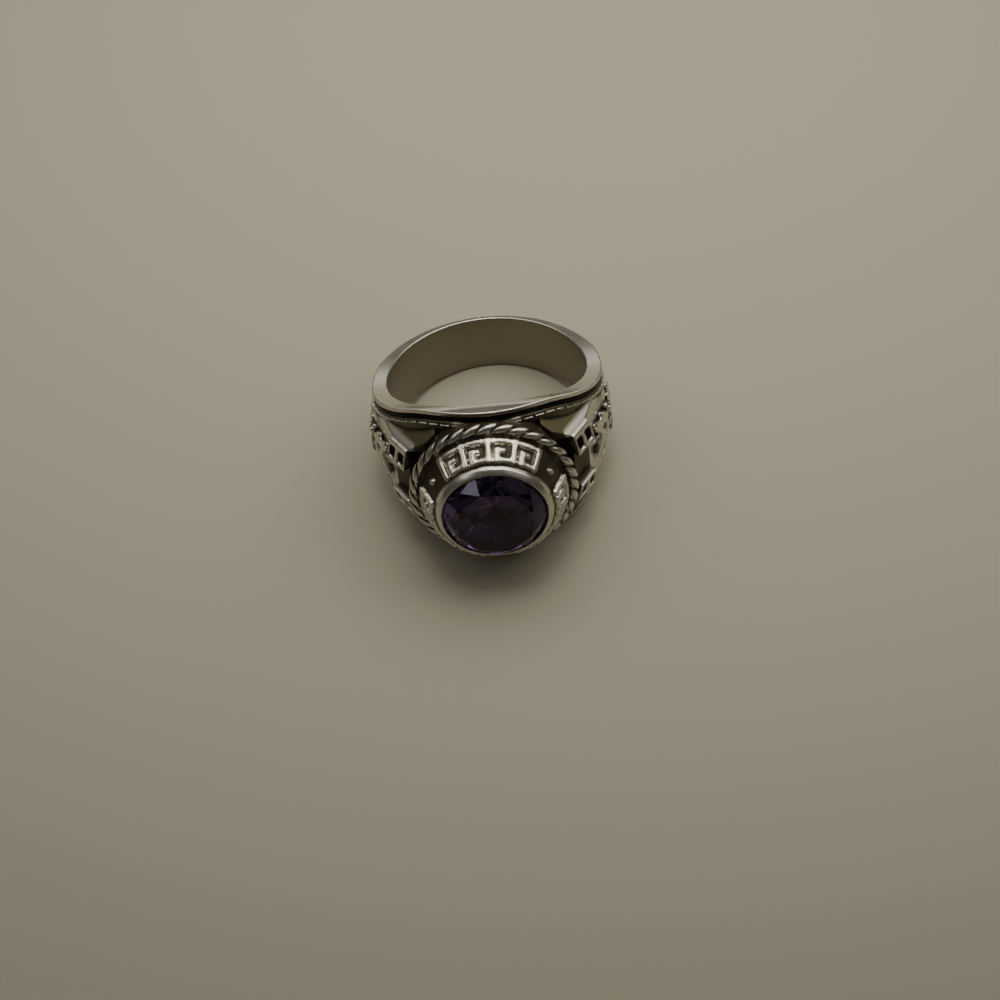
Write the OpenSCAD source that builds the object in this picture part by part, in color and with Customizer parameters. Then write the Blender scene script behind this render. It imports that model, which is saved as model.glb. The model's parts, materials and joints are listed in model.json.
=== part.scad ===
// A signet ring with a round faceted stone, lying on its side.
// The ring is drawn upright in its own frame first: the finger hole runs along Z and the head
// faces -Y. It is then tipped, so that the head's lower rim and the back's lower rim both touch
// the floor, and set down with the floor at Z = 0.

/* [Finger hole and band] */
// Radius of the finger hole
hole_r = 9.92; // [8.5:0.01:11.5]
// Outer radius of the band at its sides
band_r = 11.4; // [10.9:0.05:12.5]
// How far the band's front half is drawn towards the head
band_front_shift = 0.6; // [0.2:0.05:1]
// Distance from the hole's axis to the band's front, under the head
front_y = 11.45; // [11.3:0.05:11.6]
// Radius of the flattened arc along the band's front
front_arc_r = 13.2; // [12.6:0.1:14]
// Half the band's width at the back
back_half_w = 3; // [2.4:0.05:3.6]
// Slope of the straight part of the rims
rim_slope = 0.05; // [0.03:0.001:0.06]
// Distance behind the hole's axis where the straight part of the rims ends
rim_bend_y = 5; // [3:0.5:6]
// Radius of the rims' upward sweep, seen from the side
rim_sweep_r = 29; // [27:0.5:32]
// Distance in front of the hole's axis where the sweep turns over into the crest
rim_crest_y = 9.25; // [8.9:0.05:9.6]
// Radius of the rims' crest beside the head
rim_crest_r = 3; // [2.5:0.1:4]
// Radius of the crown across the band at the back
back_crown_r = 5; // [4.5:0.1:7]
// How far forward the crown's centre lies
crown_shift = 2; // [1.5:0.1:2.5]

/* [Head] */
// Radius of the round collar under the rope
collar_r = 7.35; // [7:0.05:7.6]
// Height of the rope's middle above the hole's axis
rope_h = 12.8; // [12.6:0.05:13.1]
// Radius of the circle along the rope's middle
rope_ring_r = 7.56; // [7.5:0.02:7.6]
// Radius of the rope itself
rope_r = 0.58; // [0.54:0.02:0.62]
// Number of turns in the rope
rope_turns = 32; // [26:2:38]
// Radius of the sloping band at its foot
cone_foot_r = 7.25; // [7.1:0.05:7.3]
// Outer radius of the bezel
bezel_r = 5.62; // [5.58:0.02:5.8]
// Height of the bezel's outer edge
bezel_h = 16.2; // [16.1:0.05:16.3]
// Height of the bezel's inner lip
lip_h = 16.62; // [16.6:0.01:16.8]
// Radius of the opening in the bezel's lip
lip_r = 5.02; // [5:0.01:5.1]
// Height of the raised ornament on the sloping band
ornament_rise = 0.35; // [0.2:0.05:0.5]
// Width of the ornament's running bars
ornament_bar = 0.52; // [0.4:0.02:0.56]
// Width of the ornament's climbing bars
climbing_w = 0.54; // [0.46:0.02:0.6]

/* [Shoulders] */
// Distance of the window frames' middle to the side of the hole's axis
frame_x = 8.85; // [8.75:0.05:8.95]
// Distance of the window frames' middle in front of the hole's axis
frame_y = 9.9; // [9.75:0.05:10]
// Direction that the window frames face, as an angle from the head's axis
frame_facing = 57; // [55:1:59]
// Distance of a frame's outer edge from the ring's middle plane
frame_edge = 4.2; // [4:0.1:4.4]
// Length of a frame round the ring
frame_len = 2.95; // [2.7:0.05:3.05]
// Height of a frame across the ring
frame_h = 2.3; // [2.2:0.05:2.6]
// Radius of the frames' bulge across the ring
bulge_r = 12.4; // [11:0.1:20]
// Width of a window, round the ring
window_w = 1; // [0.7:0.05:1.1]
// Height of a window, across the ring
window_h = 1.35; // [0.9:0.05:1.4]
// Depth of the windows at the frame's outer edge
window_depth = 0.7; // [0.4:0.05:0.9]
// Height of the leaf relief on the shoulders
leaf_rise = 0.35; // [0.25:0.05:0.5]

/* [Stone] */
// Radius of the stone at its girdle
girdle_r = 5.2; // [5.18:0.01:5.22]
// Height of the girdle above the hole's axis
girdle_h = 16.05; // [16:0.01:16.06]
// Height of the crown above the girdle
crown_h = 1.7; // [1.4:0.05:1.75]
// Radius of the flat table at its corners
table_r = 3.85; // [3.5:0.05:3.9]
// Depth of the pavilion below the girdle
pavilion_depth = 4.15; // [3.8:0.05:4.3]
// Clear gap between the stone and its seat
stone_gap = 0.04; // [0.03:0.01:0.08]

/* [Hidden] */
$fn = 96;
slab = 60;

// Side view of the rims: a straight rise from the back, an arc up to the head and a crest
bend_tilt = atan(rim_slope);
bend_z = back_half_w + (band_r - rim_bend_y) * rim_slope;
sweep_y = rim_bend_y + rim_sweep_r * sin(bend_tilt);
sweep_z = bend_z + rim_sweep_r * cos(bend_tilt);
crest_tilt = asin((sweep_y + rim_crest_y) / rim_sweep_r);
crest_start_z = sweep_z - rim_sweep_r * cos(crest_tilt);
crest_y = -rim_crest_y - rim_crest_r * sin(crest_tilt);
crest_z = crest_start_z - rim_crest_r * cos(crest_tilt);
head_half_w = crest_z + rim_crest_r;
crest_overlap = 0.5;

// The ring rests on the crest of its lower rim and on the crown's lower edge at the back
crown_y = band_r - back_crown_r;
back_edge_y = crown_y + sqrt(pow(back_crown_r, 2) - pow(back_half_w, 2));
back_edge_z = back_half_w + (band_r - back_edge_y) * rim_slope;
crest_to_back = [back_edge_y - crest_y, crest_z - back_edge_z];
rest_tilt = asin(rim_crest_r / norm(crest_to_back)) + atan(crest_to_back[1] / crest_to_back[0]);
floor_drop = crest_y * sin(rest_tilt) + crest_z * cos(rest_tilt) + rim_crest_r;

// Reach of the stone's table and of the band's back, which the origin lies midway between
facets = 8;
table_h = girdle_h + crown_h;
front_reach = table_h * cos(rest_tilt) + table_r * cos(180 / facets) * sin(rest_tilt);
back_reach = crown_y * cos(rest_tilt) + back_crown_r;
centre_y = (front_reach - back_reach) / 2;

// Sloping band of the head, from its foot beside the rope to the bezel
collar_drop = 0.1;
bezel_wall_h = 0.35;
bezel_step = 0.1;
cone_foot_h = rope_h - collar_drop;
cone_top_h = bezel_h - bezel_wall_h;
cone_top_r = bezel_r + bezel_step;
cone_lean = atan((cone_foot_r - cone_top_r) / (cone_top_h - cone_foot_h));
cone_len = norm([cone_foot_r - cone_top_r, cone_top_h - cone_foot_h]);

// Body of the head below the rope, and the step of its lip
head_foot_h = 6;
lip_land = 0.2;

// Grooves that part the rope into strands: size, side that they lie on and slant
strand_groove_r = 0.34;
strand_groove_depth = 0.24;
strand_side = 45;
strand_lay = 36;

// Ornament: three runs of a square key pattern with a round dot between each two
key_runs = 3;
keys_in_run = 4;
key_pitch = 21.5;
first_dot = 30;
key_low = 0.86;
key_margin = 0.2;
key_high = cone_len - key_margin;
key_mid = (key_low + key_high) / 2;
key_turn = 0.66 * key_pitch;
dot_r = 0.3;
bar_root = 0.5;
bar_proud = 0.04;
bar_over = 0.05;

// Groove and bead line under the rims, as depths below the rim
groove_top = 0.55;
groove_bottom = 1.15;
groove_depth = 0.45;
bead_top = 1.4;
bead_bottom = 1.62;
bead_rise = 0.16;
decor_back_y = 1.5;

// Shoulder: corners of its outline seen along the hole, and its slopes
frame_rise = 0.3;
frame_root = 1;
frame_margin = 0.12;
frame_base = [frame_x - frame_rise * sin(frame_facing), frame_rise * cos(frame_facing) - frame_y];
half_plate = (frame_len / 2 + frame_margin) * [cos(frame_facing), sin(frame_facing)];
frame_far = frame_base + half_plate;
frame_near = frame_base - half_plate;
shoulder_knee = [11.45, -3];
shoulder_back = [11.35, 1];
shoulder_root = [[6, -11.4], [5, -11], [5, -8], [9, 0], [10.6, decor_back_y]];
shoulder_slope = 37;
shoulder_below_rim = 1.75;
cove_r = 1.1;
cove_half_w = 4.1;
cove_offset = [0.82, 0.27];
bulge_x = frame_rise - sqrt(pow(bulge_r, 2) - pow(frame_edge, 2));
window_drop = 0.58;
window_reach = 3;

// Laurel branch: leaves in pairs that grow in size towards the head, and a stem
leaf_pairs = 5;
leaf_start = 0.9;
leaf_pitch = 1.5;
leaf_len = 1.9;
leaf_w = 0.9;
leaf_growth = 0.12;
leaf_spread = 42;
stem_w = 0.4;
stem_end = -7.6;
relief_depth = 0.6;

// Seat under the stone, and the rise of the lip's underside
seat_floor_r = 0.6;
seat_floor_gap = 0.3;
lip_under = 0.33;

// Stone: radii and heights of its rings of corners
star_r = 4.65;
star_h = girdle_h + 0.95;
girdle_t = 0.16;
lower_r = 1.5;
lower_depth = 0.735 * pavilion_depth;

// Puts the upright ring into its resting pose, with the floor at Z = 0
module at_rest() {
    translate([0, centre_y, floor_drop]) rotate([-rest_tilt, 0, 0]) children();
}

// Turns a shape drawn round Z, with +Z out of the stone, to the head's direction
module on_head() {
    rotate([90, 0, 0]) children();
}

// Repeats a shape on the other side of the finger hole's middle plane
module both_rims() {
    children();
    mirror([0, 0, 1]) children();
}

// Repeats a shape on the left shoulder
module both_shoulders() {
    children();
    mirror([1, 0, 0]) children();
}

// Everything more than the given depth above the rim's line, across the whole ring
module above_rim(depth = 0) {
    rotate([90, 0, 90]) translate([0, -depth, -slab / 2]) linear_extrude(slab) union() {
        intersection() {
            translate([sweep_y, sweep_z]) circle(r = rim_sweep_r, $fn = 180);
            translate([-rim_crest_y, 0]) square([slab, slab / 2]);
        }
        polygon([
            [rim_bend_y, bend_z], [slab / 2, bend_z - (slab / 2 - rim_bend_y) * rim_slope],
            [slab / 2, slab / 2], [rim_bend_y, slab / 2]
        ]);
        difference() {
            translate([-slab / 2, crest_start_z]) square([slab / 2 - rim_crest_y + crest_overlap, slab / 2]);
            translate([crest_y, crest_z]) circle(r = rim_crest_r);
            translate([-slab / 2, 0]) square([slab / 2 + crest_y, head_half_w]);
        }
    }
}

// Outline of the band seen along the finger hole, grown by a margin
module band_outline(grow = 0) {
    intersection() {
        union() {
            circle(r = band_r + grow);
            translate([0, -band_front_shift]) circle(r = band_r + grow);
            translate([-band_r - grow, -band_front_shift]) square([2 * (band_r + grow), band_front_shift]);
        }
        translate([0, front_arc_r - front_y]) circle(r = front_arc_r + grow);
    }
}

// The band before the hole is cut, crowned across its back
module band() {
    intersection() {
        translate([0, 0, -head_half_w]) linear_extrude(2 * head_half_w) band_outline();
        union() {
            translate([0, -crown_shift, 0]) rotate_extrude()
                intersection() {
                    union() {
                        translate([crown_y + crown_shift, 0]) circle(r = back_crown_r);
                        translate([0, -back_crown_r]) square([crown_y + crown_shift, 2 * back_crown_r]);
                    }
                    translate([0, -back_crown_r]) square([slab / 2, 2 * back_crown_r]);
                }
            translate([-slab / 2, -slab / 2, -slab / 2]) cube([slab, slab / 2, slab]);
        }
    }
}

// Turns a shape, with +X out of the window frames, to their place on the right shoulder
module on_frames() {
    translate([frame_base[0], frame_base[1], 0]) rotate([0, 0, frame_facing - 90]) children();
}

// Outline of one shoulder seen along the finger hole
module shoulder_outline() {
    polygon(concat([shoulder_back, shoulder_knee, frame_far, frame_near], shoulder_root));
}

// One shoulder mass: a wedge beside the head, sloping towards both rims, with a cove next to the head
module shoulder() {
    difference() {
        translate([0, 0, -head_half_w]) linear_extrude(2 * head_half_w) shoulder_outline();
        both_rims() {
            on_frames() translate([0, 0, frame_edge + frame_margin]) rotate([0, shoulder_slope, 0])
                translate([-slab / 2, -slab / 2, 0]) cube(slab);
            above_rim(shoulder_below_rim);
        }
        translate([frame_near[0] - cove_offset[0], frame_near[1] - cove_offset[1], 0])
            cylinder(r = cove_r, h = 2 * cove_half_w, center = true, $fn = 48);
    }
}

// Two raised window frames on the shoulder, one towards each rim, which bulge towards its middle
module frames() {
    on_frames() both_rims() intersection() {
        translate([-frame_root, -frame_len / 2, frame_edge - frame_h])
            cube([frame_root + window_reach, frame_len, frame_h]);
        translate([bulge_x, 0, 0]) rotate([90, 0, 0])
            cylinder(r = bulge_r, h = 2 * frame_len, center = true, $fn = 240);
    }
}

// The windows, two beside each other in each frame
module windows() {
    on_frames() both_rims() for (column = [-1, 1])
        translate([
            frame_rise - window_depth,
            column * frame_len / 4 - window_w / 2,
            frame_edge - window_drop - window_h
        ]) cube([window_reach, window_w, window_h]);
}

// A pointed leaf that starts at the origin and points along +X
module leaf(length, width) {
    arc_r = (length * length + width * width) / (4 * width);
    translate([length / 2, 0]) intersection() {
        translate([0, arc_r - width / 2]) circle(r = arc_r);
        translate([0, width / 2 - arc_r]) circle(r = arc_r);
    }
}

// A laurel branch drawn flat, along the X axis towards -X
module laurel_drawing() {
    for (step = [0:leaf_pairs - 1], side = [-1, 1])
        translate([leaf_start - step * leaf_pitch, 0]) rotate(180 - side * leaf_spread)
            leaf(leaf_len * (1 + leaf_growth * step), leaf_w * (1 + leaf_growth * step / 2));
    translate([stem_end, -stem_w / 2]) square([leaf_start - stem_end, stem_w]);
}

// The branch as a relief of even height that follows the shoulder's side
module laurel() {
    intersection() {
        rotate([90, 0, 90]) linear_extrude(slab) laurel_drawing();
        translate([leaf_rise, 0, -frame_edge]) linear_extrude(2 * frame_edge) difference() {
            shoulder_outline();
            translate([-relief_depth, 0]) shoulder_outline();
        }
    }
}

// The turned body of the head, from inside the band up to the bezel
module head_mass() {
    on_head() rotate_extrude() polygon([
        [0, head_foot_h], [collar_r, head_foot_h], [collar_r, cone_foot_h], [cone_foot_r, cone_foot_h],
        [cone_top_r, cone_top_h], [bezel_r, cone_top_h], [bezel_r, bezel_h],
        [lip_r + lip_land, lip_h], [0, lip_h]
    ]);
}

// The rope border: a ring that slanting grooves part into strands
module rope() {
    on_head() translate([0, 0, rope_h]) difference() {
        rotate_extrude() translate([rope_ring_r, 0]) circle(r = rope_r, $fn = 48);
        for (turn = [0:rope_turns - 1])
            rotate([0, 0, (turn + 0.5) * 360 / rope_turns]) translate([rope_ring_r, 0, 0])
                rotate([0, strand_side, 0])
                    translate([0, 0, rope_r + strand_groove_r - strand_groove_depth])
                        rotate([90, 0, strand_lay])
                            cylinder(r = strand_groove_r, h = 4 * rope_r, center = true, $fn = 24);
    }
}

// A straight bar that climbs the sloping band and stands just past the bars that it joins
module climbing_bar(turn, low, high) {
    rotate([0, 0, turn]) translate([cone_foot_r, 0, cone_foot_h]) rotate([0, -cone_lean, 0])
        translate([-bar_root, -climbing_w / 2, low - bar_over])
            cube([bar_root + ornament_rise + bar_proud, climbing_w, high - low + 2 * bar_over]);
}

// A bar that follows the sloping band round, between two turns
module running_bar(from_turn, to_turn, low) {
    rotate([0, 0, from_turn]) rotate_extrude(angle = to_turn - from_turn)
        translate([cone_foot_r, cone_foot_h]) rotate(cone_lean)
            translate([-bar_root, low]) square([bar_root + ornament_rise, ornament_bar]);
}

// One square key: up, along the top, down and back in towards the middle
module key(turn) {
    half_bar = ornament_bar / 2;
    climbing_bar(turn, key_low, key_high);
    climbing_bar(turn + key_turn, key_mid - half_bar, key_high);
    running_bar(turn, turn + key_turn, key_high - ornament_bar);
    running_bar(turn + key_turn / 2, turn + key_turn, key_mid - half_bar);
}

// The raised ornament round the sloping band
module ornament() {
    run_turn = 360 / key_runs;
    on_head() for (run = [0:key_runs - 1]) {
        dot = first_dot + run * run_turn;
        start = dot + (run_turn - keys_in_run * key_pitch) / 2;
        for (step = [0:keys_in_run - 1])
            key(start + step * key_pitch);
        climbing_bar(start + keys_in_run * key_pitch, key_low, key_high);
        running_bar(start, start + keys_in_run * key_pitch, key_low);
        rotate([0, 0, dot]) translate([cone_foot_r, 0, cone_foot_h])
            rotate([0, 90 - cone_lean, 0]) translate([-key_mid, 0, -bar_root])
                cylinder(r = dot_r, h = bar_root + ornament_rise, $fn = 32);
    }
}

// A layer that follows the rim, between two depths below it, on the decorated part of the ring
module under_rim(from_depth, to_depth) {
    intersection() {
        translate([-slab / 2, decor_back_y - slab, 0]) cube([slab, slab, head_half_w]);
        difference() {
            above_rim(to_depth);
            above_rim(from_depth);
        }
    }
}

// The groove under one rim
module rim_groove() {
    difference() {
        under_rim(groove_top, groove_bottom);
        linear_extrude(slab, center = true) band_outline(-groove_depth);
    }
}

// The fine raised line under one rim's groove
module bead_line() {
    intersection() {
        under_rim(bead_top, bead_bottom);
        linear_extrude(head_half_w) difference() {
            band_outline(bead_rise);
            band_outline(-groove_depth);
        }
    }
}

// The hollow that holds the stone, with the lip left standing over the girdle
module seat() {
    clear_r = girdle_r + stone_gap;
    low_h = girdle_h - girdle_t / 2 - stone_gap;
    high_h = girdle_h + girdle_t / 2 + stone_gap;
    floor_h = low_h - pavilion_depth - seat_floor_gap;
    on_head() rotate_extrude() polygon([
        [0, floor_h], [seat_floor_r, floor_h], [clear_r, low_h], [clear_r, high_h],
        [lip_r, high_h + lip_under], [lip_r, lip_h + 1], [0, lip_h + 1]
    ]);
}

module ring_body() {
    color("#a9a48f") at_rest() difference() {
        union() {
            difference() {
                band();
                both_rims() rim_groove();
            }
            both_rims() bead_line();
            both_shoulders() {
                shoulder();
                frames();
                laurel();
            }
            head_mass();
            rope();
            ornament();
        }
        cylinder(r = hole_r, h = slab, center = true);
        seat();
        both_shoulders() windows();
        both_rims() above_rim();
    }
}

// Corners of one ring of the stone: how many, where the first one stands, how far out and how high
function corner_ring(count, turn, radius, height) =
    [for (i = [0:count - 1]) let (a = turn + i * 360 / count) [radius * cos(a), radius * sin(a), height]];

module stone() {
    half = 180 / facets;
    points = concat(
        corner_ring(facets, half, table_r, table_h),
        corner_ring(facets, 0, star_r, star_h),
        corner_ring(2 * facets, 0, girdle_r, girdle_h + girdle_t / 2),
        corner_ring(2 * facets, 0, girdle_r, girdle_h - girdle_t / 2),
        corner_ring(facets, 0, lower_r, girdle_h - lower_depth),
        [[0, 0, girdle_h - pavilion_depth]]
    );
    star = facets;
    upper = 2 * facets;
    lower = 4 * facets;
    ring = 6 * facets;
    culet = 7 * facets;
    faces = concat(
        [[for (i = [facets - 1:-1:0]) i]],
        [for (i = [0:facets - 1]) let (next = (i + 1) % facets) [i, next, star + next]],
        [for (i = [0:facets - 1]) let (next = (i + 1) % facets) [i, star + next, upper + 2 * i + 1]],
        [for (i = [0:facets - 1]) [star + i, i, upper + 2 * i + 1]],
        [for (i = [0:facets - 1]) [upper + 2 * i, star + i, upper + 2 * i + 1]],
        [for (i = [0:facets - 1]) let (next = (i + 1) % facets)
            [star + next, upper + 2 * next, upper + 2 * i + 1]],
        [for (i = [0:2 * facets - 1]) let (next = (i + 1) % (2 * facets))
            [upper + i, upper + next, lower + next, lower + i]],
        [for (i = [0:facets - 1]) [lower + 2 * i, lower + 2 * i + 1, ring + i]],
        [for (i = [0:facets - 1]) let (next = (i + 1) % facets)
            [lower + 2 * i + 1, lower + 2 * next, ring + next]],
        [for (i = [0:facets - 1]) let (next = (i + 1) % facets) [lower + 2 * i + 1, ring + next, ring + i]],
        [for (i = [0:facets - 1]) let (next = (i + 1) % facets) [ring + i, ring + next, culet]]
    );
    color("#26203a") at_rest() on_head() polyhedron(points, faces);
}

ring_body();
stone();
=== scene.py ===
# %% [markdown]
# # A signet ring in antiqued silver, with a dark violet stone
#
# The real ring is a lost-wax casting: rope, key pattern, window frames and laurel leaves were all
# carved in one wax and cast with the band. The high places were then polished and a dark oxide was
# left in the hollows. A round faceted stone is held by a lip of metal that was pushed over its edge.
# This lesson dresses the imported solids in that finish. It softens the casting, adds the domed leaves,
# the strands of the rope and the dashes under the rims, cuts the stone facet by facet and lights the
# ring like a jewel.

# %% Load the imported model
import json
import math

import bmesh
import bpy
import numpy as np
from mathutils import Matrix, Vector


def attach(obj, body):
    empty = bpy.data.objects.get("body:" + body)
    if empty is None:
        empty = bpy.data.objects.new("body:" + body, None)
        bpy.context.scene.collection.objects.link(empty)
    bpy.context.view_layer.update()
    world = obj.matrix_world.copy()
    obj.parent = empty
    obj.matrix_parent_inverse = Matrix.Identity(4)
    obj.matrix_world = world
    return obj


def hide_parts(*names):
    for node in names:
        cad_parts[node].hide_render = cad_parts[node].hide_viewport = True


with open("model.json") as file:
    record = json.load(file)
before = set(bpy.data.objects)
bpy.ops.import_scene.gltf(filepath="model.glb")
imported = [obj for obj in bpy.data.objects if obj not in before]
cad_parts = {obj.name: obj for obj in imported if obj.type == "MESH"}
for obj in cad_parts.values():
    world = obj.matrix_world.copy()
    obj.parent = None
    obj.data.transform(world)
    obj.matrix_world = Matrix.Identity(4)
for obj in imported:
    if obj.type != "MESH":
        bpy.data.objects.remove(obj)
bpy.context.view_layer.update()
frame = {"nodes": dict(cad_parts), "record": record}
print("nodes:", sorted(frame["nodes"]))

# %% [markdown]
# The ring lies tipped on its side, but it was drawn upright. All pieces here are shaped in
# millimetres in the ring's own frame: the finger hole runs along Z and the head faces -Y. One matrix,
# worked out from the finger hole's place in the record, lays a finished piece down in metres. A
# second one turns shapes drawn round Z, with Z out of the stone, towards the head.

# %% The ring's own frame
MM = 0.001
hole = frame["record"]["mounts"][0]
hole_centre = Vector(hole["pos_m"])
rest_tilt = math.atan2(hole["axis"][1], hole["axis"][2])
LAY_DOWN = Matrix.Translation(hole_centre) @ Matrix.Rotation(-rest_tilt, 4, "X") @ Matrix.Scale(MM, 4)
ON_HEAD = Matrix.Rotation(math.radians(90), 4, "X")
print("the ring is tipped by", round(math.degrees(rest_tilt), 2), "degrees")

# %% [markdown]
# The camera comes first, because it decides how large each detail shows. Its angles are given in the
# ring's own frame, so the view of the ring stays the same whatever angle it rests at. A 72 mm lens on
# a 36 mm sensor, 20 cm away, gives about ten pixels to the millimetre.

# %% Camera
camera_pitch = math.radians(42.55)
camera_turn = math.radians(-2.987)
camera_roll = math.radians(7.10)
camera_lens = 72
camera_sensor = 36
camera_distance = 201.15
hole_in_view = Vector((-0.982, 9.736))

forward = Vector((0, math.cos(camera_pitch), -math.sin(camera_pitch)))
level = Vector((1, 0, 0))
upward = level.cross(forward)
right = level * math.cos(camera_roll) - upward * math.sin(camera_roll)
up = level * math.sin(camera_roll) + upward * math.cos(camera_roll)
eye = -forward * camera_distance - right * hole_in_view.x - up * hole_in_view.y
camera_matrix = Matrix((right, up, -forward)).transposed().to_4x4()
camera_matrix.translation = eye

camera_data = bpy.data.cameras.new("camera")
camera_data.lens = camera_lens
camera_data.sensor_width = camera_sensor
camera_data.clip_start = 0.01
camera = bpy.data.objects.new("camera", camera_data)
bpy.context.scene.collection.objects.link(camera)
placed = LAY_DOWN @ Matrix.Rotation(-camera_turn, 4, "Z") @ camera_matrix
camera.matrix_world = Matrix.LocRotScale(placed.to_translation(), placed.to_quaternion(), None)
bpy.context.scene.camera = camera
print("camera at", [round(v, 4) for v in camera.matrix_world.translation])

# %% [markdown]
# Materials are graphs of nodes. One function turns the usual hex colours, which are sRGB, into the
# linear values that the shader works in. One other adds a node, sets it and links its inputs, so each
# material below reads from top to bottom like a recipe.

# %% Helpers for materials
def linear(hex_colour):
    """An sRGB hex colour as linear red, green, blue and alpha."""
    parts = [int(hex_colour[i:i + 2], 16) / 255 for i in (1, 3, 5)]
    return [p / 12.92 if p <= 0.04045 else ((p + 0.055) / 1.055) ** 2.4 for p in parts] + [1.0]


def add_node(tree, kind, settings=None, **inputs):
    """A new node. An input is a value or another node's output; _0 is the first input, A_B is "A B"."""
    node = tree.nodes.new(kind)
    for name, value in (settings or {}).items():
        setattr(node, name, value)
    for name, value in inputs.items():
        socket = node.inputs[int(name[1:]) if name[1:].isdigit() else name.replace("_", " ")]
        if isinstance(value, bpy.types.NodeSocket):
            tree.links.new(value, socket)
        else:
            socket.default_value = value
    return node


def new_material(name):
    """A new material with its tree and its principled shader."""
    material = bpy.data.materials.new(name)
    material.use_nodes = True
    return material, material.node_tree, material.node_tree.nodes["Principled BSDF"]

# %% [markdown]
# A pattern on the ring is drawn in the ring's own millimetres. Texture Coordinate gives the object's
# coordinates, which are metres on the floor, and a Mapping node of type Texture undoes the lay-down:
# it takes away the place and the tilt and divides by the scale.

# %% Ring millimetres in a material
def ring_millimetres(tree):
    """The ring's own coordinates, in millimetres, as an output."""
    place = add_node(tree, "ShaderNodeTexCoord")
    return add_node(
        tree, "ShaderNodeMapping", {"vector_type": "TEXTURE"}, Vector=place.outputs["Object"],
        Location=hole_centre, Rotation=(-rest_tilt, 0, 0), Scale=(MM, MM, MM),
    ).outputs["Vector"]

# %% [markdown]
# The metal is cast sterling silver, polished on the high places and darkened with liver of sulphur in
# the hollows. To the eye that is a pale warm mirror, blurred by fine scratches, next to matt
# brown-black. A metal's colour is its reflection's colour, so silver is a pale warm grey with
# Metallic 1. Two attributes that each point carries say where it darkens. "hollow" is high in grooves,
# where the oxide is black and thick. The other is high on broad ground that the polishing wheel does
# not reach, which has turned olive brown. In the recesses under the frames and the rope, both are also
# raised as painted shade. Clouds of noise keep their borders from looking drawn.
# Real polishing scratches are a few hundredths of a millimetre wide, and here they are drawn as broad
# as they need to be to show, 0.14 mm.

# %% Values of the antiqued silver
silver_hex = "#ccc9be"
tarnish_hex = "#5f5944"
oxide_hex = "#17110c"
cloud_mm = 1.6
cloud_usual = (0.3, 0.7)
cloud_on_hollow = 0.4
cloud_on_ground = 0.3
stain_from, stain_full = 0.15, 0.6
black_from, black_full = 0.3, 0.8
polished_roughness = (0.26, 0.3)
stained_roughness = 0.5
oxide_metallic = 0.3
scratch_mm = 0.14
scratch_depth_mm = 0.02
scratch_strength = 0.08

# %% Antiqued silver
def antiqued_silver():
    """Cast silver: bright where it was polished, olive where it tarnished, black where oxide stayed."""
    material, tree, shader = new_material("antiqued_cast_silver")
    spot = ring_millimetres(tree)
    hollow = add_node(tree, "ShaderNodeAttribute", {"attribute_name": "hollow"}).outputs["Fac"]
    ground = add_node(tree, "ShaderNodeAttribute", {"attribute_name": "tarnish_and_shade"}).outputs["Fac"]
    cloud = add_node(tree, "ShaderNodeTexNoise", Vector=spot, Scale=1 / cloud_mm, Detail=4.0,
                     Roughness=0.6)
    scratch = add_node(tree, "ShaderNodeTexNoise", Vector=spot, Scale=1 / scratch_mm, Detail=2.0,
                       Roughness=0.5)
    drift = add_node(tree, "ShaderNodeMath", {"operation": "MULTIPLY_ADD"},
                     _0=cloud.outputs["Fac"], _1=cloud_on_hollow, _2=-cloud_on_hollow / 2)
    depth = add_node(tree, "ShaderNodeMath", {"operation": "ADD"}, _0=hollow, _1=drift.outputs[0])
    reach = add_node(tree, "ShaderNodeMath", {"operation": "MULTIPLY_ADD"},
                     _0=drift.outputs[0], _1=cloud_on_ground, _2=ground)
    film = add_node(tree, "ShaderNodeMath", {"operation": "MAXIMUM"},
                    _0=depth.outputs[0], _1=reach.outputs[0])
    stained = add_node(tree, "ShaderNodeMapRange", {"interpolation_type": "SMOOTHSTEP"},
                       Value=film.outputs[0], From_Min=stain_from, From_Max=stain_full)
    blackened = add_node(tree, "ShaderNodeMapRange", {"interpolation_type": "SMOOTHSTEP"},
                         Value=depth.outputs[0], From_Min=black_from, From_Max=black_full)
    tarnished = add_node(tree, "ShaderNodeMix", {"data_type": "RGBA"}, Factor=stained.outputs["Result"],
                         _6=linear(silver_hex), _7=linear(tarnish_hex))
    coloured = add_node(tree, "ShaderNodeMix", {"data_type": "RGBA"}, Factor=blackened.outputs["Result"],
                        _6=tarnished.outputs[2], _7=linear(oxide_hex))
    polish = add_node(tree, "ShaderNodeMapRange", Value=cloud.outputs["Fac"],
                      From_Min=cloud_usual[0], From_Max=cloud_usual[1],
                      To_Min=polished_roughness[0], To_Max=polished_roughness[1])
    matt = add_node(tree, "ShaderNodeMix", {"data_type": "FLOAT"}, Factor=stained.outputs["Result"],
                    _2=polish.outputs["Result"], _3=stained_roughness)
    metal = add_node(tree, "ShaderNodeMapRange", Value=blackened.outputs["Result"],
                     To_Min=1.0, To_Max=oxide_metallic)
    pits = add_node(tree, "ShaderNodeBump", Strength=scratch_strength, Distance=scratch_depth_mm * MM,
                    Height=scratch.outputs["Fac"])
    tree.links.new(coloured.outputs[2], shader.inputs["Base Color"])
    tree.links.new(matt.outputs[0], shader.inputs["Roughness"])
    tree.links.new(metal.outputs["Result"], shader.inputs["Metallic"])
    tree.links.new(pits.outputs["Normal"], shader.inputs["Normal"])
    return material


silver = antiqued_silver()
print("material:", silver.name)
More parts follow.
